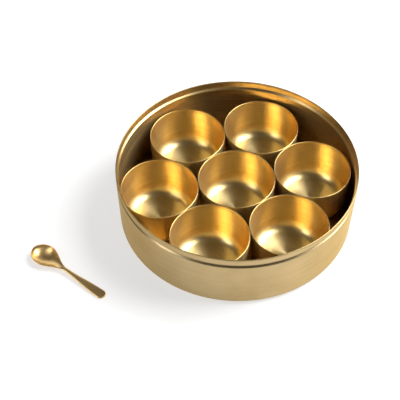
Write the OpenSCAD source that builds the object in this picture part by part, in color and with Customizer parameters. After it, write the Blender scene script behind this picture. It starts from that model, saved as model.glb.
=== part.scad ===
// Spice box (masala dabba): a shallow round brass box with six loose cups
// standing in a ring round a seventh, and a small loose serving spoon.
// Millimetres, +Z up. The origin is the centre of the box's underside, on the table.

/* [Box] */
// Outer diameter of the box over its rim band
box_d = 254; // [200:1:320]
// Height of the box, table to rim
box_h = 74.5; // [66:0.5:100]
// Thickness of the spun sheet that the box is made of
box_sheet = 1; // [0.8:0.1:1.6]
// How much smaller the wall's radius is at the base than under the rim
wall_draft = 1.8; // [0:0.1:4]
// Outer radius of the rounded corner between base and wall
base_corner_r = 8; // [4:0.5:10]
// How far the middle of the base is pushed up, so that the box stands on a ring
base_kick = 2; // [0.5:0.1:3]

/* [Rim] */
// Straight height inside the rim band, where a lid's skirt sits
seat_h = 7; // [5:0.5:12]
// Height of the bead that is rolled inward under the band
bead_h = 5.4; // [3:0.1:8]
// How far the bead stands in from the band
bead_depth = 2.1; // [1:0.1:3]
// Height of the rounded lip along the top edge of the rim
lip_h = 0.4; // [0.2:0.1:0.6]

/* [Cups] */
// Gap between neighbouring cups, and from a cup to the bead
cup_gap = 0.4; // [0.4:0.1:3]
// Height of a cup
cup_h = 49.5; // [30:0.5:51]
// Thickness of a cup's spun sheet
cup_sheet = 0.9; // [0.6:0.1:1.2]
// How much smaller a cup's radius is at its base than at its rim
cup_draft = 1.6; // [0:0.1:4]
// Outer radius of the rounded corner at the foot of a cup
cup_corner_r = 13; // [6:0.5:13]
// Radius of the flat middle of a cup's base, which the cup stands on
cup_flat_r = 12; // [6:1:12]
// Slope that the base has reached where its corner begins, in degrees
cup_rise = 8; // [2:0.5:12]
// Turn of the ring of cups about the box's axis, in degrees
ring_turn = 9.5; // [0:0.5:59.5]

/* [Spoon] */
// Overall length of the spoon
spoon_len = 97; // [80:1:130]
// Width of the bowl at its widest
bowl_w = 25.6; // [20:0.2:32]
// Height of the bowl's front edge above the table
bowl_front_z = 8.5; // [7:0.5:12]
// Width of the neck between bowl and handle
neck_w = 4.7; // [3:0.1:6]
// Width of the handle near its end
handle_w = 10.4; // [7:0.1:13]
// Thickness of the spoon's metal
spoon_sheet = 1.4; // [1:0.1:2]
// Place of the bowl's front edge on the table: left and right
spoon_x = -214; // [-260:1:-210]
// Place of the bowl's front edge on the table: front and back
spoon_y = -58; // [-120:1:-40]
// Direction that the handle points in, in degrees from +X
spoon_turn = -37; // [-60:1:-25]

/* [Hidden] */

$fn = 144;
ring_count = 6;
arc_steps = 8;
// Width of the ring that the box stands on, and of the slope up to the middle of its base
foot_ring_w = 1.5;
kick_run = 3.5;
brass = [0.78, 0.60, 0.33];
cup_brass = [0.85, 0.63, 0.30];
spoon_brass = [0.70, 0.54, 0.30];

// Box radii and heights, from the rim inwards and downwards
band_r = box_d / 2;
seat_r = band_r - box_sheet;
ridge_r = seat_r - bead_depth;
seat_top = box_h - lip_h;
bead_top = seat_top - seat_h;
bead_foot = bead_top - bead_h;
base_r = band_r - wall_draft;
// Height of the floor that the cups stand on
floor_z = box_sheet + base_kick;

// The seven cups fill the width inside the bead: three cups and the gaps between
cup_r = (ridge_r - 2 * cup_gap) / 3;
ring_r = 2 * cup_r + cup_gap;

// Spoon stations, measured along its axis from the front edge of the bowl
bowl_mid = 0.155 * spoon_len;
neck_start = 0.45 * spoon_len;
widest_at = 0.955 * spoon_len;
end_round = 0.42 * handle_w;
bowl_depth = spoon_edge_z(bowl_mid) - spoon_sheet;
handle_crown = 0.35;
across_steps = 10;
tip_angle = 8;

// A half wave that rises smoothly from 0 to 1 as u goes from 0 to 1
function ease(u) = (1 - cos(180 * min(max(u, 0), 1))) / 2;

// Points of a quarter circle round [cx, cy], from angle a to angle b
function arc(cx, cy, r, a, b) =
    [for (i = [0 : arc_steps]) let (t = a + (b - a) * i / arc_steps)
        [cx + r * cos(t), cy + r * sin(t)]];

// Line of the box's pushed-up base, its foot ring and its rounded corner.
// inset is the distance in from the outer surface
function box_foot_line(inset) =
    let (ring_in = base_r - base_corner_r - foot_ring_w) concat(
        [[0, inset + base_kick]],
        [for (i = [0 : arc_steps]) let (u = i / arc_steps)
            [ring_in - kick_run * (1 - u), inset + base_kick * (1 - ease(u))]],
        arc(base_r - base_corner_r, base_corner_r, base_corner_r - inset, -90, 0));

// Line of a cup's base: a flat middle, a slow rise, and the rounded corner
function cup_foot_line(foot_r, inset) =
    let (
        corner_at = foot_r - cup_corner_r,
        run = corner_at + cup_corner_r * sin(cup_rise) - cup_flat_r,
        reach = corner_at + (cup_corner_r - inset) * sin(cup_rise) - cup_flat_r,
        centre_z = tan(cup_rise) * run / 2 + cup_corner_r * cos(cup_rise)
    ) concat(
        [[0, inset]],
        [for (i = [0 : arc_steps - 1]) let (u = i / arc_steps)
            [cup_flat_r + reach * u, inset + tan(cup_rise) * reach * u * u / 2]],
        arc(corner_at, centre_z, cup_corner_r - inset, cup_rise - 90, 0));

// Line of the rolled bead on a wall surface whose radius is r above it
function bead_line(r) =
    [for (i = [0 : 2 * arc_steps]) let (u = i / (2 * arc_steps))
        [r - bead_depth * (1 - cos(360 * u)) / 2, bead_foot + bead_h * u]];

function reverse(list) = [for (i = [len(list) - 1 : -1 : 0]) list[i]];

// The box: one sheet spun into a pan, with a bead rolled inward under its rim band
module box_body() {
    outside = concat(box_foot_line(0), bead_line(band_r),
        [[band_r, seat_top], [band_r - box_sheet / 3, box_h]]);
    inside = concat(box_foot_line(box_sheet), bead_line(seat_r),
        [[seat_r, seat_top], [seat_r + box_sheet / 3, box_h]]);
    color(brass)
        rotate_extrude() polygon(concat(outside, reverse(inside)));
}

// One cup, standing on the origin
module cup() {
    foot_r = cup_r - cup_draft;
    edge = cup_sheet / 3;
    outside = concat(cup_foot_line(foot_r, 0),
        [[cup_r, cup_h - edge], [cup_r - edge, cup_h]]);
    inside = concat(cup_foot_line(foot_r, cup_sheet),
        [[cup_r - cup_sheet, cup_h - edge], [cup_r - cup_sheet + edge, cup_h]]);
    color(cup_brass)
        rotate_extrude() polygon(concat(outside, reverse(inside)));
}

// The cup in the middle of the box
module center_cup() {
    translate([0, 0, floor_z]) cup();
}

// Cup number i of the ring, counted from the right-hand side towards the back
module ring_cup(i) {
    turn = ring_turn + (i - 1) * 360 / ring_count;
    translate([ring_r * cos(turn), ring_r * sin(turn), floor_z]) cup();
}

// Half the spoon's width at distance s from the front edge of the bowl
function spoon_half_w(s) =
    s < bowl_mid ? bowl_w / 2 * sqrt(1 - pow((bowl_mid - s) / bowl_mid, 2))
    : s < neck_start ? neck_w / 2
        + (bowl_w - neck_w) / 2 * (1 - ease((s - bowl_mid) / (neck_start - bowl_mid)))
    : s < spoon_len - end_round ? neck_w / 2
        + (handle_w - neck_w) / 2 * ease((s - neck_start) / (widest_at - neck_start))
    : handle_w / 2 * sqrt(1 - pow((s - spoon_len + end_round) / end_round, 2));

// How far the spoon is dished at s: 1 is the full bowl, 0 the handle
function dish(s) =
    s < bowl_mid ? spoon_half_w(s) / (bowl_w / 2)
    : 1 - ease((s - bowl_mid) / (neck_start - bowl_mid));

// Height of the spoon's edge at s: one straight slope from the bowl's front to the table
function spoon_edge_z(s) = bowl_front_z - (bowl_front_z - spoon_sheet) * s / spoon_len;

// One closed ring of points across the spoon at s: its top from side to side,
// then its underside back
function spoon_ring(s) =
    let (
        w = spoon_half_w(s),
        z = spoon_edge_z(s),
        sag = bowl_depth * dish(s) - handle_crown * (1 - dish(s)),
        angles = [for (i = [0 : across_steps]) -90 + 180 * i / across_steps],
        top = [for (a = angles) [s, w * sin(a), z - sag * pow(cos(a), 1.5)]],
        under_sag = bowl_depth * dish(s),
        under = [for (a = angles) [s, w * sin(a), z - spoon_sheet - under_sag * pow(cos(a), 1.5)]]
    ) concat(top, reverse(under));

// Stations along the spoon, close together where its outline turns quickly
spoon_stations = concat(
    [for (a = [tip_angle : (90 - tip_angle) / arc_steps : 89.9]) bowl_mid * (1 - cos(a))],
    [for (i = [0 : 9]) bowl_mid + (neck_start - bowl_mid) * i / 10],
    [for (i = [0 : 9]) neck_start + (spoon_len - end_round - neck_start) * i / 10],
    [for (i = [0 : arc_steps])
        spoon_len - end_round + end_round * sin((90 - tip_angle) * i / arc_steps)]);

// The spoon: rings of points joined along its length, with its two ends closed
module spoon() {
    rings = [for (s = spoon_stations) spoon_ring(s)];
    n = len(rings[0]);
    last = (len(rings) - 1) * n;
    sides = [for (j = [0 : len(rings) - 2]) for (i = [0 : n - 1])
        let (k = (i + 1) % n) each [
            [j * n + i, j * n + k, (j + 1) * n + k],
            [j * n + i, (j + 1) * n + k, (j + 1) * n + i]]];
    ends = [[for (i = [n - 1 : -1 : 0]) i], [for (i = [0 : n - 1]) last + i]];
    lowest = min([for (ring = rings) for (p = ring) p.z]);
    color(spoon_brass)
        translate([spoon_x, spoon_y, -lowest]) rotate([0, 0, spoon_turn])
            polyhedron(points = [for (ring = rings) each ring], faces = concat(sides, ends));
}

box_body();
center_cup();
ring_cup(1);  // ring_cup_1
ring_cup(2);  // ring_cup_2
ring_cup(3);  // ring_cup_3
ring_cup(4);  // ring_cup_4
ring_cup(5);  // ring_cup_5
ring_cup(6);  // ring_cup_6
spoon();
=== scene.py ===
# %% [markdown]
# # A brass spice box, piece by piece
# This lesson dresses a finished mechanical model of a masala dabba: a shallow round brass box, seven
# loose cups and a small spoon. The model arrives as a fixed frame in metres, with the origin under the
# middle of the box and Z up. Nothing in it is moved. Every visible piece below is made again as a smooth
# mesh in exactly the same place, because spun brass shows each flat facet in its reflections.

# %% Load the frame
from math import cos, pi, radians, sin, sqrt, tan

import bpy
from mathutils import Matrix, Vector


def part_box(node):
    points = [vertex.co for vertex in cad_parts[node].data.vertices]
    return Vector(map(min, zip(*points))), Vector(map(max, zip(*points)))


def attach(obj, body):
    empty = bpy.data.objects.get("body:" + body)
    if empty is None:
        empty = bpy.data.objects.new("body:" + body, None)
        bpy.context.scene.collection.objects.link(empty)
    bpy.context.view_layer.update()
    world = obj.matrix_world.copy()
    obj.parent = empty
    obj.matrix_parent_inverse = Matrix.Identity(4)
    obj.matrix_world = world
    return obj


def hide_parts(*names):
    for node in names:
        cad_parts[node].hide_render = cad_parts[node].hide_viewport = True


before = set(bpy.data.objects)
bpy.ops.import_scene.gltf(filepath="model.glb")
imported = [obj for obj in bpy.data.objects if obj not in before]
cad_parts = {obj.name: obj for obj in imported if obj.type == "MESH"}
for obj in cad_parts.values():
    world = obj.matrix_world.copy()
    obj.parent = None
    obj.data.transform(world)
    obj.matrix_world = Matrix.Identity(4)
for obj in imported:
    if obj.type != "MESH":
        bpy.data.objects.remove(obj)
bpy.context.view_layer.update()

MM = 0.001

# %% [markdown]
# ## The camera
# The box is looked at from a little above, close to fifty degrees, with a long lens, so that its rim is a
# calm ellipse and the far cups are hardly smaller than the near ones. The camera looks along +Y. It slides
# a little to the left, because the spoon lies on that side.

# %% Place the camera
VIEW_HEIGHT = radians(49.12)
VIEW_DISTANCE = 1.1597
SLIDE_RIGHT = -0.0387
SLIDE_UP = 0.0115
LENS = 95.2


def place_camera():
    """The camera, looking along +Y and down by VIEW_HEIGHT."""
    data = bpy.data.cameras.new("camera")
    data.lens = LENS
    data.sensor_width = 36.0
    data.clip_start = 0.05
    data.clip_end = 20.0
    camera = bpy.data.objects.new("camera", data)
    bpy.context.collection.objects.link(camera)
    back = Vector((0, -cos(VIEW_HEIGHT), sin(VIEW_HEIGHT)))
    up = Vector((0, sin(VIEW_HEIGHT), cos(VIEW_HEIGHT)))
    camera.location = Vector((SLIDE_RIGHT, 0, 0)) + up * SLIDE_UP + back * VIEW_DISTANCE
    camera.rotation_euler = (pi / 2 - VIEW_HEIGHT, 0, 0)
    bpy.context.scene.camera = camera
    return camera


camera = place_camera()
print("camera at", [round(v, 3) for v in camera.location])

# %% [markdown]
# ## Small helpers for node trees
# Shaders and geometry trees are both graphs of nodes. One helper adds a node with its settings, and one
# joins two sockets, so that the recipes below read as a list of steps.


# %% Node helpers
def add(tree, kind, **settings):
    """A new node of this kind, with its properties set."""
    node = tree.nodes.new(kind)
    for name, value in settings.items():
        setattr(node, name, value)
    return node


def join(tree, source, target):
    """Link an output socket to an input, or set the input if source is a plain value."""
    if isinstance(source, bpy.types.NodeSocket):
        tree.links.new(source, target)
    else:
        target.default_value = source


def math(tree, operation, a, b=0.0, c=0.0):
    """The output of a Math node."""
    node = add(tree, "ShaderNodeMath", operation=operation)
    for socket, value in zip(node.inputs, (a, b, c)):
        join(tree, value, socket)
    return node.outputs[0]


def combine(tree, x, y, z):
    """A vector out of three numbers."""
    node = add(tree, "ShaderNodeCombineXYZ")
    for socket, value in zip(node.inputs, (x, y, z)):
        join(tree, value, socket)
    return node.outputs[0]


def split(tree, vector):
    """The three numbers of a vector."""
    node = add(tree, "ShaderNodeSeparateXYZ")
    join(tree, vector, node.inputs[0])
    return node.outputs


# %% [markdown]
# ## Satin brass
# Clean brass reflects nearly all the red, about three quarters of the green and two fifths of the blue
# light that falls on it. Light that bounces between walls is filtered each time, so a deep cup turns from
# straw to amber by itself, with one colour inside and out. The box is different. Its outside is given a
# darker and greyer colour than its inside, a painted shade, because it mirrors the bright table and would
# outshine the cups. The cut edges of every sheet, which no wheel reaches, are the dullest of all.
#
# The satin comes from the polishing wheel, which leaves thousands of hair lines that run round each spun
# piece. They do two things. Each one is a tiny groove, which bump gives. Together they spread a reflection
# across the lines and keep it narrow along them, which is what the shader calls anisotropy. Seen at a
# glancing angle a clean metal turns into a white mirror. Brushed brass keeps some of its colour there, and
# `GLANCING` says how much.
#
# The lines follow the piece, so the pattern reads the piece's own coordinates: the angle round the axis,
# and the distance along the sheet from the centre of the base to the centre of the inside. The angle goes
# in as its sine and cosine, so that there is no seam where the turn closes.

# %% The brushed brass recipe
LINE_MAP = "spin"
EDGE = "edge"
INSIDE = "inside"
GLANCING = (0.88, 0.72, 0.47, 1)
ANISOTROPY = 0.7
QUARTER_TURN = 0.25
# How often each pattern repeats, along the lines and across them
FINE_LINES = (1.2, 1500.0)
BROAD_BANDS = (0.5, 340.0)
# How often each pattern repeats in a metre
PATCHES = 28.0
SPECKS = 420.0
LINE_STRENGTH = 0.16
LINE_HEIGHT = 0.12 * MM


def line_coordinates(tree, round_scale, across_scale, turning):
    """Coordinates that change slowly along the brushing and quickly across it."""
    uv = add(tree, "ShaderNodeUVMap", uv_map=LINE_MAP)
    along, across, _ = split(tree, uv.outputs[0])
    if turning:
        angle = math(tree, "MULTIPLY", along, 2 * pi)
        x = math(tree, "MULTIPLY", math(tree, "COSINE", angle), round_scale)
        y = math(tree, "MULTIPLY", math(tree, "SINE", angle), round_scale)
    else:
        x = math(tree, "MULTIPLY", along, round_scale)
        y = 0.0
    return combine(tree, x, y, math(tree, "MULTIPLY", across, across_scale))


def noise(tree, vector, scale, detail=2.0, roughness=0.5):
    """The 0 to 1 output of a noise texture."""
    node = add(tree, "ShaderNodeTexNoise", noise_dimensions="3D")
    join(tree, vector, node.inputs["Vector"])
    node.inputs["Scale"].default_value = scale
    node.inputs["Detail"].default_value = detail
    node.inputs["Roughness"].default_value = roughness
    return node.outputs["Fac"]


def spread(tree, value, low, high):
    """value, which runs from 0 to 1, stretched to run from low to high."""
    node = add(tree, "ShaderNodeMapRange", clamp=True)
    join(tree, value, node.inputs["Value"])
    node.inputs["From Min"].default_value = 0.3
    node.inputs["From Max"].default_value = 0.7
    node.inputs["To Min"].default_value = low
    node.inputs["To Max"].default_value = high
    return node.outputs["Result"]


def mix_colour(tree, factor, a, b):
    """Colour a where factor is 0, b where it is 1."""
    node = add(tree, "ShaderNodeMix", data_type="RGBA", blend_type="MIX")
    join(tree, factor, node.inputs["Factor"])
    sockets = [s for s in node.inputs if s.type == "RGBA"]
    join(tree, a, sockets[0])
    join(tree, b, sockets[1])
    return [s for s in node.outputs if s.type == "RGBA"][0]


def brushed_brass(name, clean, dull, inner_colour, gloss, turning=True):
    """Satin brass. clean and dull are its colours, and the third colour is that of its inner face. On the
    box the outer face is darker and greyer than the inner one, a painted shade. gloss is its range of
    roughness.
    turning is false for a piece that wasn't spun."""
    material = bpy.data.materials.new(name)
    material.use_nodes = True
    tree = material.node_tree
    tree.nodes.clear()
    shader = add(tree, "ShaderNodeBsdfPrincipled")
    output = add(tree, "ShaderNodeOutputMaterial")
    tree.links.new(shader.outputs[0], output.inputs["Surface"])
    shader.inputs["Metallic"].default_value = 1.0
    shader.inputs["Anisotropic"].default_value = ANISOTROPY
    shader.inputs["Anisotropic Rotation"].default_value = QUARTER_TURN
    shader.inputs["Specular Tint"].default_value = GLANCING

    fine = noise(tree, line_coordinates(tree, *FINE_LINES, turning), 1.0, 3.0, 0.6)
    bands = noise(tree, line_coordinates(tree, *BROAD_BANDS, turning), 1.0, 2.0)
    place = add(tree, "ShaderNodeTexCoord").outputs["Object"]
    patches = noise(tree, place, PATCHES, 3.0)
    specks = noise(tree, place, SPECKS, 2.0)
    edge = add(tree, "ShaderNodeAttribute", attribute_name=EDGE).outputs["Fac"]
    inside = add(tree, "ShaderNodeAttribute", attribute_name=INSIDE).outputs["Fac"]

    # Tarnish gathers in soft patches, and the lines show as faint stripes
    stain = math(tree, "MULTIPLY", spread(tree, patches, 0.0, 0.5), spread(tree, specks, 0.6, 1.0))
    stain = math(tree, "ADD", stain, spread(tree, fine, -0.15, 0.65))
    stain = math(tree, "MULTIPLY_ADD", edge, 0.6, stain)
    # On the box the outer face takes a darker, greyer colour than the inner face: a painted shade that dims
    # its reflection of the bright table
    colour = mix_colour(tree, stain, mix_colour(tree, inside, clean, inner_colour), dull)
    tree.links.new(colour, shader.inputs["Base Color"])

    rough = math(tree, "ADD", spread(tree, bands, gloss[0], gloss[1]), spread(tree, patches, -0.02, 0.03))
    rough = math(tree, "MULTIPLY_ADD", edge, 0.1, rough)
    tree.links.new(rough, shader.inputs["Roughness"])

    if not turning:
        grain = add(tree, "ShaderNodeTangent", direction_type="UV_MAP", uv_map=LINE_MAP)
        tree.links.new(grain.outputs[0], shader.inputs["Tangent"])

    height = math(tree, "MULTIPLY_ADD", bands, 0.3, fine)
    bump = add(tree, "ShaderNodeBump")
    bump.inputs["Strength"].default_value = LINE_STRENGTH
    bump.inputs["Distance"].default_value = LINE_HEIGHT
    tree.links.new(height, bump.inputs["Height"])
    tree.links.new(bump.outputs[0], shader.inputs["Normal"])
    return material


# The box's outer colour is darker and greyer than its inner one: a painted shade
box_brass = brushed_brass("spun_box_brass", (0.58, 0.445, 0.25, 1), (0.43, 0.31, 0.14, 1),
                          (0.90, 0.64, 0.28, 1), (0.32, 0.37))
cup_brass = brushed_brass("spun_cup_brass", (0.93, 0.75, 0.39, 1), (0.74, 0.53, 0.20, 1),
                          (0.93, 0.75, 0.39, 1), (0.29, 0.36))
spoon_brass = brushed_brass("filed_spoon_brass", (0.90, 0.63, 0.28, 1), (0.64, 0.43, 0.17, 1),
                            (0.90, 0.63, 0.28, 1), (0.34, 0.39), False)
print("materials:", [m.name for m in bpy.data.materials])

# %% [markdown]
# ## Spinning a sheet
# A spun piece is a flat disc of brass pressed over a turning form, so one line, its profile, says
# everything about it. The Screw modifier or a bmesh spin could turn the profile round. A geometry tree is
# better here: the same tree makes the box and all seven cups, it lays the coordinates that the brushing
# follows, and it can add the slight out-of-round that every hand-finished vessel has.
#
# The tree reads the profile as a curve in the XZ plane. It makes a grid with one row for each profile
# point, rolls the grid round the axis, and merges the rows that meet. Each profile point also carries two
# marks, which the tree passes on to the shader: whether it lies on the cut edge, and whether it lies
# inside the vessel.


# %% The spinning tree
def build_spin_tree():
    """A geometry tree that turns a profile curve into a closed spun vessel."""
    tree = bpy.data.node_groups.new("spin_sheet", "GeometryNodeTree")
    face = tree.interface
    face.new_socket("Profile", in_out="INPUT", socket_type="NodeSocketGeometry")
    face.new_socket("Steps Around", in_out="INPUT", socket_type="NodeSocketInt")
    face.new_socket("Centre", in_out="INPUT", socket_type="NodeSocketVector")
    face.new_socket("Out Of Round", in_out="INPUT", socket_type="NodeSocketFloat")
    face.new_socket("Seed", in_out="INPUT", socket_type="NodeSocketFloat")
    face.new_socket("Finish", in_out="INPUT", socket_type="NodeSocketMaterial")
    face.new_socket("Vessel", in_out="OUTPUT", socket_type="NodeSocketGeometry")
    given = add(tree, "NodeGroupInput").outputs
    made = add(tree, "NodeGroupOutput").inputs

    size = add(tree, "GeometryNodeAttributeDomainSize", component="CURVE")
    tree.links.new(given["Profile"], size.inputs[0])
    rows = size.outputs["Point Count"]
    grid = add(tree, "GeometryNodeMeshGrid")
    tree.links.new(math(tree, "ADD", given["Steps Around"], 1.0), grid.inputs["Vertices X"])
    tree.links.new(rows, grid.inputs["Vertices Y"])

    # Which profile point and which step of the turn each grid point stands for
    index = add(tree, "GeometryNodeInputIndex").outputs[0]
    step = math(tree, "FLOOR", math(tree, "DIVIDE", math(tree, "ADD", index, 0.5), rows))
    row = math(tree, "SUBTRACT", index, math(tree, "MULTIPLY", step, rows))
    turn = math(tree, "DIVIDE", step, given["Steps Around"])

    def at_row(value, kind):
        node = add(tree, "GeometryNodeSampleIndex", data_type=kind, domain="POINT")
        tree.links.new(given["Profile"], node.inputs["Geometry"])
        tree.links.new(value, node.inputs["Value"])
        tree.links.new(row, node.inputs["Index"])
        return node.outputs["Value"]

    point = at_row(add(tree, "GeometryNodeInputPosition").outputs[0], "FLOAT_VECTOR")
    along = at_row(add(tree, "GeometryNodeSplineParameter").outputs["Length"], "FLOAT")
    edge = at_row(add(tree, "GeometryNodeInputRadius").outputs[0], "FLOAT")
    inside = at_row(add(tree, "GeometryNodeInputCurveTilt").outputs[0], "FLOAT")

    # The turn, with a slow wave in the radius that both faces of the sheet share
    radius, _, height = split(tree, point)
    angle = math(tree, "MULTIPLY", turn, 2 * pi)
    x, y = math(tree, "COSINE", angle), math(tree, "SINE", angle)
    wave = add(tree, "ShaderNodeTexNoise", noise_dimensions="4D")
    tree.links.new(combine(tree, x, y, math(tree, "MULTIPLY", height, 20.0)), wave.inputs["Vector"])
    tree.links.new(given["Seed"], wave.inputs["W"])
    wave.inputs["Scale"].default_value = 1.1
    wave.inputs["Detail"].default_value = 0.0
    sway = math(tree, "SUBTRACT", wave.outputs["Fac"], 0.5)
    sway = math(tree, "MULTIPLY", sway, given["Out Of Round"])
    radius = math(tree, "MULTIPLY_ADD", radius, sway, radius)
    place = combine(tree, math(tree, "MULTIPLY", radius, x), math(tree, "MULTIPLY", radius, y), height)
    shifted = add(tree, "ShaderNodeVectorMath", operation="ADD")
    tree.links.new(place, shifted.inputs[0])
    tree.links.new(given["Centre"], shifted.inputs[1])

    # The coordinates are stored on face corners, before the seam is merged
    store = add(tree, "GeometryNodeStoreNamedAttribute", data_type="FLOAT2", domain="CORNER")
    store.inputs["Name"].default_value = LINE_MAP
    on_point = add(tree, "GeometryNodeFieldOnDomain", data_type="FLOAT_VECTOR", domain="POINT")
    tree.links.new(combine(tree, turn, along, 0.0), on_point.inputs[0])
    tree.links.new(grid.outputs["Mesh"], store.inputs["Geometry"])
    tree.links.new(on_point.outputs[0], store.inputs["Value"])
    made_so_far = store.outputs[0]
    for name, value in ((EDGE, edge), (INSIDE, inside)):
        keep = add(tree, "GeometryNodeStoreNamedAttribute", data_type="FLOAT", domain="POINT")
        keep.inputs["Name"].default_value = name
        tree.links.new(made_so_far, keep.inputs["Geometry"])
        tree.links.new(value, keep.inputs["Value"])
        made_so_far = keep.outputs[0]

    move = add(tree, "GeometryNodeSetPosition")
    tree.links.new(made_so_far, move.inputs["Geometry"])
    tree.links.new(shifted.outputs[0], move.inputs["Position"])
    merge = add(tree, "GeometryNodeMergeByDistance")
    merge.inputs["Distance"].default_value = 0.01 * MM
    tree.links.new(move.outputs[0], merge.inputs[0])
    smooth = add(tree, "GeometryNodeSetShadeSmooth")
    tree.links.new(merge.outputs[0], smooth.inputs[0])
    real = add(tree, "GeometryNodeRealizeInstances")
    tree.links.new(smooth.outputs[0], real.inputs[0])
    finish = add(tree, "GeometryNodeSetMaterial")
    tree.links.new(real.outputs[0], finish.inputs["Geometry"])
    tree.links.new(given["Finish"], finish.inputs["Material"])
    tree.links.new(finish.outputs[0], made["Vessel"])
    return tree


spin_tree = build_spin_tree()
print("spin tree:", len(spin_tree.nodes), "nodes")


# %% From a profile to a finished piece
def profile_curve(name, points):
    """A poly curve in the XZ plane. points are (radius, height, edge, inside).
    edge rides in each point's radius and inside in its tilt."""
    curve = bpy.data.curves.new(name, "CURVE")
    curve.dimensions = "3D"
    line = curve.splines.new("POLY")
    line.points.add(len(points) - 1)
    for point, (r, z, edge, inside) in zip(line.points, points):
        point.co = (r, 0, z, 1)
        point.radius = edge
        point.tilt = inside
    return bpy.data.objects.new(name, curve)


def spin(name, points, centre, steps, sway, seed, finish):
    """Turn a profile into one plain mesh object, with the tree applied and removed."""
    source = profile_curve(name + "_profile", points)
    bpy.context.collection.objects.link(source)
    modifier = source.modifiers.new("spin", "NODES")
    modifier.node_group = spin_tree
    values = {"Steps Around": steps, "Centre": centre, "Out Of Round": sway, "Seed": seed, "Finish": finish}
    for item in spin_tree.interface.items_tree:
        if item.item_type == "SOCKET" and item.in_out == "INPUT" and item.name in values:
            modifier[item.identifier] = values[item.name]
    source.update_tag()
    graph = bpy.context.evaluated_depsgraph_get()
    mesh = bpy.data.meshes.new_from_object(source.evaluated_get(graph), depsgraph=graph)
    curve = source.data
    bpy.data.objects.remove(source)
    bpy.data.curves.remove(curve)
    if signed_volume(mesh) < 0:
        mesh.flip_normals()
    mesh.name = name
    piece = bpy.data.objects.new(name, mesh)
    bpy.context.collection.objects.link(piece)
    return piece


def signed_volume(mesh):
    """The volume inside a closed mesh, which is negative where its faces point inwards."""
    total = 0.0
    mesh.calc_loop_triangles()
    for triangle in mesh.loop_triangles:
        a, b, c = (mesh.vertices[i].co for i in triangle.vertices)
        total += a.dot(b.cross(c)) / 6
    return total


def arc(cx, cz, r, start, end, steps):
    """Points of an arc from angle start to angle end, in degrees."""
    turns = [radians(start + (end - start) * i / steps) for i in range(steps + 1)]
    return [(cx + r * cos(t), cz + r * sin(t)) for t in turns]


# %% [markdown]
# ## The box
# The box is one sheet: a base pushed up in the middle so that it stands on a narrow ring, a rounded
# corner, a wall that leans out very slightly, and near the top a bead that a roller has pressed inward.
# Outside, the bead is a dark groove. Inside, it is a ridge that a lid can rest on. Above it stands the
# plain band of the rim.
#
# Its diameter and height come from the frame. The sheet, the bead, the ring and the corner are this
# model's own sizes.

# %% Sizes of the box
low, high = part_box("box_body")
BAND_R = (high.x - low.x) / 2
BOX_H = high.z
BOX_SHEET = 1.0 * MM
WALL_DRAFT = 1.8 * MM
BASE_CORNER = 8.0 * MM
BASE_KICK = 2.0 * MM
RING_WIDTH = 1.5 * MM
KICK_RUN = 3.5 * MM
SEAT_H = 7.0 * MM
BEAD_H = 5.4 * MM
BEAD_DEPTH = 2.1 * MM
LIP = 0.4 * MM
# Steps round the turn, and along each stretch of the profile
BOX_STEPS = 288
CORNER_STEPS = 14
BEAD_STEPS = 28
LIP_STEPS = 8
WALL_STEPS = 8
BAND_STEPS = 3
# The slight out-of-round, as a share of the radius, and the seed of its wave
BOX_SWAY = 0.0016
BOX_SEED = 3.0
BEAD_TOP = BOX_H - LIP - SEAT_H
BEAD_FOOT = BEAD_TOP - BEAD_H
print("box radius and height:", round(BAND_R, 4), round(BOX_H, 4))


# %% The profile of the box
def ease(u):
    """A half wave that rises smoothly from 0 to 1."""
    return (1 - cos(pi * min(max(u, 0.0), 1.0))) / 2


def pan(foot_r, corner, inset, kick):
    """The base and corner of a pan, from the axis outwards.
    inset is the depth below the outer face, kick the rise in the middle of the base."""
    ring = foot_r - corner - RING_WIDTH
    floor = [((ring - KICK_RUN) * i / 6, inset + kick) for i in range(6)]
    slope = [(ring - KICK_RUN * (1 - i / 8), inset + kick * (1 - ease(i / 8))) for i in range(9)]
    return floor + slope + arc(foot_r - corner, corner, corner - inset, -90, 0, CORNER_STEPS)


def bowl_pan(foot_r, corner, inset, flat_r, slope):
    """The base and corner of a cup: a flat middle, a slow rise to a slope in degrees, and the corner."""
    lean = radians(slope)
    edge_r = foot_r - corner + corner * sin(lean)
    centre_z = tan(lean) * (edge_r - flat_r) / 2 + corner * cos(lean)
    reach = foot_r - corner + (corner - inset) * sin(lean) - flat_r
    flat = [(flat_r * i / 4, inset) for i in range(4)]
    rise = [(flat_r + reach * i / 10, inset + tan(lean) * reach * (i / 10) ** 2 / 2) for i in range(10)]
    return flat + rise + arc(foot_r - corner, centre_z, corner - inset, slope - 90, 0, CORNER_STEPS)


def wall(foot, head, steps):
    """Points of a straight wall between two (radius, height) ends, without the ends."""
    return [(foot[0] + (head[0] - foot[0]) * i / steps, foot[1] + (head[1] - foot[1]) * i / steps)
            for i in range(1, steps)]


def bead(r):
    """The rolled bead in a face whose radius is r: a smooth half wave inward and back."""
    parts = [i / BEAD_STEPS for i in range(BEAD_STEPS + 1)]
    return [(r - BEAD_DEPTH * (1 - cos(2 * pi * u)) / 2, BEAD_FOOT + BEAD_H * u) for u in parts]


def lip(outer_r, inner_r, top, drop):
    """The rounded edge that joins the outer face of a sheet to its inner face."""
    middle, half = (outer_r + inner_r) / 2, (outer_r - inner_r) / 2
    turns = [pi * i / LIP_STEPS for i in range(LIP_STEPS + 1)]
    return [(middle + half * cos(t), top - drop + drop * sin(t)) for t in turns]


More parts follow.
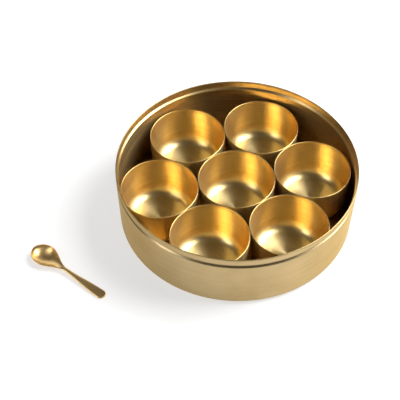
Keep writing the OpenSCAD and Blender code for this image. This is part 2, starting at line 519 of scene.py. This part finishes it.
def vessel(foot, sheet, mouth_r, top, drop, body):
    """A closed profile: base, outer wall, lip, inner wall and floor.
    foot(inset) and body(foot, head, inset) give the points of a face at that depth in the sheet."""
    outside = foot(0.0)
    inside = foot(sheet)
    edge = lip(mouth_r, mouth_r - sheet, top, drop)
    outer_face = outside + body(outside[-1], edge[0], 0.0)
    inner_face = (inside + body(inside[-1], edge[-1], sheet))[::-1]
    return ([(r, z, 0.0, 0.0) for r, z in outer_face] + [(r, z, 1.0, 0.5) for r, z in edge]
            + [(r, z, 0.0, 1.0) for r, z in inner_face])


def box_wall(foot, head, inset):
    """The wall up to the bead, the bead, and the band above it."""
    rolled = bead(BAND_R - inset)
    return wall(foot, rolled[0], WALL_STEPS) + rolled + wall(rolled[-1], head, BAND_STEPS)


def box_foot(inset):
    """The box's base and corner."""
    return pan(BAND_R - WALL_DRAFT, BASE_CORNER, inset, BASE_KICK)


box_profile = vessel(box_foot, BOX_SHEET, BAND_R, BOX_H, LIP, box_wall)
box_piece = spin("box_shell", box_profile, (0, 0, 0), BOX_STEPS, BOX_SWAY, BOX_SEED, box_brass)
print("box shell:", len(box_piece.data.vertices), "points")

# %% [markdown]
# ## The cups
# All seven cups are the same pressing, so they share one profile: a small flat middle to stand on, a slow
# rise, a wide round corner and a plain wall. The wide corner is what gives each cup the soft crescent of
# light between its floor and its wall. Only the place and the seed of the slight out-of-round differ. The
# frame says where each one stands.

# %% Make the cups
CUP_SHEET = 0.9 * MM
CUP_DRAFT = 1.6 * MM
CUP_CORNER = 13.0 * MM
CUP_FLAT = 12.0 * MM
CUP_SLOPE = 8.0
CUP_LIP = 0.4 * MM
CUP_STEPS = 176
CUP_SWAY = 0.003
FIRST_SEED = 7.0
SEED_STEP = 2.3
CUPS = ["center_cup"] + [f"ring_cup_{i}" for i in range(1, 7)]


def cup_wall(foot, head, inset):
    """A plain wall with enough rows for its slow waves."""
    return wall(foot, head, WALL_STEPS)


def make_cup(node, seed):
    """One cup where the frame has it."""
    low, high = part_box(node)
    radius = (high.x - low.x) / 2

    def cup_foot(inset):
        return bowl_pan(radius - CUP_DRAFT, CUP_CORNER, inset, CUP_FLAT, CUP_SLOPE)

    profile = vessel(cup_foot, CUP_SHEET, radius, high.z - low.z, CUP_LIP, cup_wall)
    centre = ((low.x + high.x) / 2, (low.y + high.y) / 2, low.z)
    return spin(node + "_shell", profile, centre, CUP_STEPS, CUP_SWAY, seed, cup_brass)


cup_pieces = {node: make_cup(node, FIRST_SEED + SEED_STEP * i) for i, node in enumerate(CUPS)}
print("cups:", {name: len(piece.data.vertices) for name, piece in cup_pieces.items()})

# %% [markdown]
# ## The spoon
# The spoon is cast and filed, not spun, so it has no axis to turn round. It is lofted: closed rings of
# points stand across it, from the front edge of the bowl to the end of the handle. Three short rules
# shape it. One gives the half width, one says how far the ring is dished, and one gives the height of the
# edge, which is one straight slope from the front of the bowl down to the table.

# %% Sizes of the spoon
SPOON_LENGTH = 97 * MM
BOWL_WIDTH = 25.6 * MM
BOWL_FRONT = 8.5 * MM
NECK_WIDTH = 4.7 * MM
HANDLE_WIDTH = 10.4 * MM
SPOON_SHEET = 1.4 * MM
CROWN = 0.35 * MM
SPOON_START = Vector((-214 * MM, -58 * MM, 0))
SPOON_TURN = radians(-37)
END_ROUND = 0.42 * HANDLE_WIDTH
BOWL_MID = 0.155 * SPOON_LENGTH
NECK_START = 0.45 * SPOON_LENGTH
WIDEST_AT = 0.955 * SPOON_LENGTH
# How square the dish is across, and the least half width of a ring
DISH_POWER = 1.5
LEAST_HALF = 0.02 * MM


def half_width(s):
    """Half the spoon's width at distance s from the front of the bowl."""
    if s < BOWL_MID:
        return BOWL_WIDTH / 2 * sqrt(max(0.0, 1 - ((BOWL_MID - s) / BOWL_MID) ** 2))
    if s < NECK_START:
        rest = 1 - ease((s - BOWL_MID) / (NECK_START - BOWL_MID))
        return NECK_WIDTH / 2 + (BOWL_WIDTH - NECK_WIDTH) / 2 * rest
    if s < SPOON_LENGTH - END_ROUND:
        rise = ease((s - NECK_START) / (WIDEST_AT - NECK_START))
        return NECK_WIDTH / 2 + (HANDLE_WIDTH - NECK_WIDTH) / 2 * rise
    return HANDLE_WIDTH / 2 * sqrt(max(0.0, 1 - ((s - SPOON_LENGTH + END_ROUND) / END_ROUND) ** 2))


def dish(s):
    """1 in the middle of the bowl, 0 along the handle."""
    if s < BOWL_MID:
        return half_width(s) / (BOWL_WIDTH / 2)
    return 1 - ease((s - BOWL_MID) / (NECK_START - BOWL_MID))


def edge_height(s):
    """Height of the upper edge: one straight slope from the bowl's front to the table."""
    return BOWL_FRONT - (BOWL_FRONT - SPOON_SHEET) * s / SPOON_LENGTH


BOWL_DEPTH = edge_height(BOWL_MID) - SPOON_SHEET


def spoon_ring(s, across=30, around=5):
    """One closed ring across the spoon: its top, a round edge, its underside, and the other edge."""
    half = SPOON_SHEET / 2
    flat = max(half_width(s) - half, LEAST_HALF)
    edge = min(half, half_width(s))
    z = edge_height(s)
    sag = BOWL_DEPTH * dish(s) - CROWN * (1 - dish(s))
    under = BOWL_DEPTH * dish(s)
    angles = [-pi / 2 + pi * i / across for i in range(across + 1)]
    top = [(flat * sin(a), z - sag * max(cos(a), 0.0) ** DISH_POWER) for a in angles]
    low = [(flat * sin(a), z - SPOON_SHEET - under * max(cos(a), 0.0) ** DISH_POWER)
           for a in reversed(angles)]
    turns = [pi / 2 - pi * i / (around + 1) for i in range(1, around + 1)]
    right = [(flat + edge * cos(t), z - half + half * sin(t)) for t in turns]
    left = [(-flat - edge * cos(t), z - half + half * sin(t)) for t in reversed(turns)]
    return top + right + low + left


def make_spoon():
    """Loft the rings into one closed mesh, with its brushing coordinates along the handle."""
    first = [BOWL_MID * (1 - cos(radians(a))) for a in range(3, 90, 4)]
    bowl = [BOWL_MID + (NECK_START - BOWL_MID) * i / 26 for i in range(26)]
    tail = SPOON_LENGTH - END_ROUND
    handle = [NECK_START + (tail - NECK_START) * i / 28 for i in range(28)]
    end = [tail + END_ROUND * sin(radians(a)) for a in range(0, 89, 6)]
    stations = first + bowl + handle + end
    rings = [spoon_ring(s) for s in stations]
    n = len(rings[0])
    lift = -min(z for ring in rings for _, z in ring)
    verts, faces = [], []
    for s, ring in zip(stations, rings):
        for t, z in ring:
            x = SPOON_START.x + s * cos(SPOON_TURN) - t * sin(SPOON_TURN)
            y = SPOON_START.y + s * sin(SPOON_TURN) + t * cos(SPOON_TURN)
            verts.append((x, y, z + lift))
    for j in range(len(rings) - 1):
        for i in range(n):
            k = (i + 1) % n
            faces.append((j * n + i, j * n + k, (j + 1) * n + k, (j + 1) * n + i))
    last = (len(rings) - 1) * n
    faces.append(tuple(reversed(range(n))))
    faces.append(tuple(last + i for i in range(n)))
    mesh = bpy.data.meshes.new("spoon_piece")
    mesh.from_pydata(verts, [], faces)
    mesh.update()
    if signed_volume(mesh) < 0:
        mesh.flip_normals()
    lines = mesh.uv_layers.new(name=LINE_MAP)
    flat = [(s, t) for s, ring in zip(stations, rings) for t, _ in ring]
    for loop in mesh.loops:
        lines.data[loop.index].uv = flat[loop.vertex_index]
    mesh.polygons.foreach_set("use_smooth", [True] * len(mesh.polygons))
    mesh.materials.append(spoon_brass)
    piece = bpy.data.objects.new("spoon_piece", mesh)
    bpy.context.collection.objects.link(piece)
    return piece


spoon_piece = make_spoon()
print("spoon:", len(spoon_piece.data.vertices), "points")

# %% [markdown]
# ## Riding the frame
# Each piece stands for one CAD node and rides on that node's body, so it goes where the joint takes it.

# %% Hand the pieces to the frame
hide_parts("box_body")
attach(box_piece, "box")
for node, piece in cup_pieces.items():
    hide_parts(node)
    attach(piece, node)
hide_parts("spoon")
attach(spoon_piece, "spoon")

# %% [markdown]
# ## The table and the light
# Satin brass shows the room more than itself, so the room stays dark where the metal has to look deep:
# overhead and on the viewer's side. A tall softbox on the right is the key. A low, wide one behind gives
# the far walls their sheen, and a narrow one on the left draws a bright band down each cup. The table is a
# sheet of milk glass lit from beneath, so that it stays white and its shadows stay light.


# %% The table
TABLE_HALF = 4.0
TABLE_DROP = 0.2 * MM
TABLE_GREY = (0.50, 0.50, 0.50, 1)
TABLE_GLOW = 0.58


def make_table():
    """A sheet of milk glass: pale, and lit a little from beneath."""
    mesh = bpy.data.meshes.new("table")
    s = TABLE_HALF
    mesh.from_pydata([(-s, -s, 0), (s, -s, 0), (s, s, 0), (-s, s, 0)], [], [(0, 1, 2, 3)])
    material = bpy.data.materials.new("table_white")
    material.use_nodes = True
    shader = material.node_tree.nodes["Principled BSDF"]
    shader.inputs["Base Color"].default_value = TABLE_GREY
    shader.inputs["Emission Color"].default_value = (1, 1, 1, 1)
    shader.inputs["Emission Strength"].default_value = TABLE_GLOW
    shader.inputs["Roughness"].default_value = 0.9
    shader.inputs["Specular IOR Level"].default_value = 0.1
    mesh.materials.append(material)
    table = bpy.data.objects.new("table", mesh)
    bpy.context.collection.objects.link(table)
    table.location.z = -TABLE_DROP
    return table


table = make_table()


# %% The room and the lamps
def light_room(strength, horizon, ceiling):
    """A room whose walls go from the horizon's brightness to the ceiling's."""
    world = bpy.data.worlds.new("studio")
    bpy.context.scene.world = world
    world.use_nodes = True
    tree = world.node_tree
    tree.nodes.clear()
    where = add(tree, "ShaderNodeTexCoord").outputs["Generated"]
    height = split(tree, where)[2]
    ramp = add(tree, "ShaderNodeValToRGB")
    tree.links.new(height, ramp.inputs[0])
    ramp.color_ramp.elements[0].position = 0.0
    ramp.color_ramp.elements[0].color = (horizon, horizon, horizon, 1)
    ramp.color_ramp.elements[1].position = 0.8
    ramp.color_ramp.elements[1].color = (ceiling, ceiling, ceiling, 1)
    back = add(tree, "ShaderNodeBackground")
    back.inputs["Strength"].default_value = strength
    tree.links.new(ramp.outputs[0], back.inputs[0])
    out = add(tree, "ShaderNodeOutputWorld")
    tree.links.new(back.outputs[0], out.inputs[0])


def softbox(name, turn, rise, distance, width, height, brightness):
    """A rectangular lamp that faces the box. turn and rise are its direction in degrees."""
    data = bpy.data.lights.new(name, "AREA")
    data.shape = "RECTANGLE"
    data.size = width
    data.size_y = height
    data.energy = 4 * brightness * width * height
    lamp = bpy.data.objects.new(name, data)
    bpy.context.collection.objects.link(lamp)
    t, e = radians(turn), radians(rise)
    lamp.location = Vector((cos(t) * cos(e), sin(t) * cos(e), sin(e))) * distance
    lamp.rotation_euler = (-lamp.location).to_track_quat("-Z", "Y").to_euler()
    return lamp


light_room(1.0, 0.24, 0.05)
# Name, direction in degrees (turn and rise), distance, width and height in metres, brightness
LAMPS = [
    ("key_softbox", 13, 47, 1.7, 1.2, 1.4, 8.2),
    ("back_softbox", 95, 24, 1.7, 2.0, 0.6, 1.6),
    ("left_softbox", 208, 38, 1.6, 0.5, 0.9, 2.6),
]
for lamp in LAMPS:
    softbox(*lamp)
view = bpy.context.scene.view_settings
view.view_transform = "Standard"
view.look = "None"
